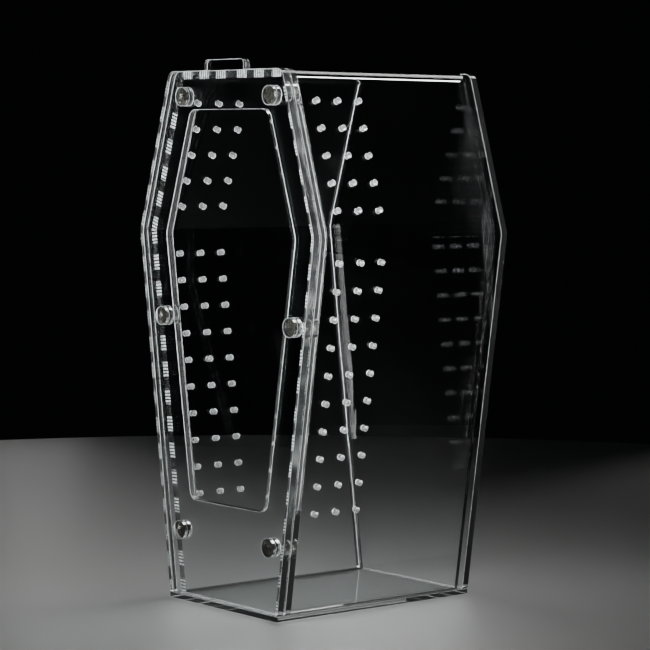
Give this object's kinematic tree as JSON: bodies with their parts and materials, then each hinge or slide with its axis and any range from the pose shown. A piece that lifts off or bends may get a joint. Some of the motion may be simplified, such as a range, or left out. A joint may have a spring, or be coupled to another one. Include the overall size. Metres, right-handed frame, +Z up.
{
  "type": "display enclosure",
  "caption": "Tall clear acrylic enclosure with a coffin outline, side vent holes, an open-fronted frame and a magnetic front door that lifts straight off.",
  "frame": {"origin": "middle of the floor's underside, at the centre of the object's bounding box in plan", "axes": "+Z up along the height, +X to the object's right seen from the front, -Y out of the front, where the door is"},
  "size_m": [0.1594, 0.144, 0.311],
  "materials": {
    "clear_acrylic": "clear cast sheet, laser-cut polished edges",
    "magnet_nickel": "dark nickel plating"
  },
  "bodies": {
    "enclosure": {"base_plate": "clear_acrylic", "rear_panel": "clear_acrylic", "shell": "clear_acrylic", "front_frame": "clear_acrylic", "frame_magnet_top_left": "magnet_nickel", "frame_magnet_top_right": "magnet_nickel", "frame_magnet_middle_left": "magnet_nickel", "frame_magnet_middle_right": "magnet_nickel", "frame_magnet_bottom_left": "magnet_nickel", "frame_magnet_bottom_right": "magnet_nickel"},
    "door": {"door_panel": "clear_acrylic", "door_magnet_top_left": "magnet_nickel", "door_magnet_top_right": "magnet_nickel", "door_magnet_middle_left": "magnet_nickel", "door_magnet_middle_right": "magnet_nickel", "door_magnet_bottom_left": "magnet_nickel", "door_magnet_bottom_right": "magnet_nickel"}
  },
  "joints": [
    {"name": "door_pull", "type": "slide", "parent": "enclosure", "child": "door", "axis": [0, -1, 0], "range_m": [0, 0.08]}
  ]
}
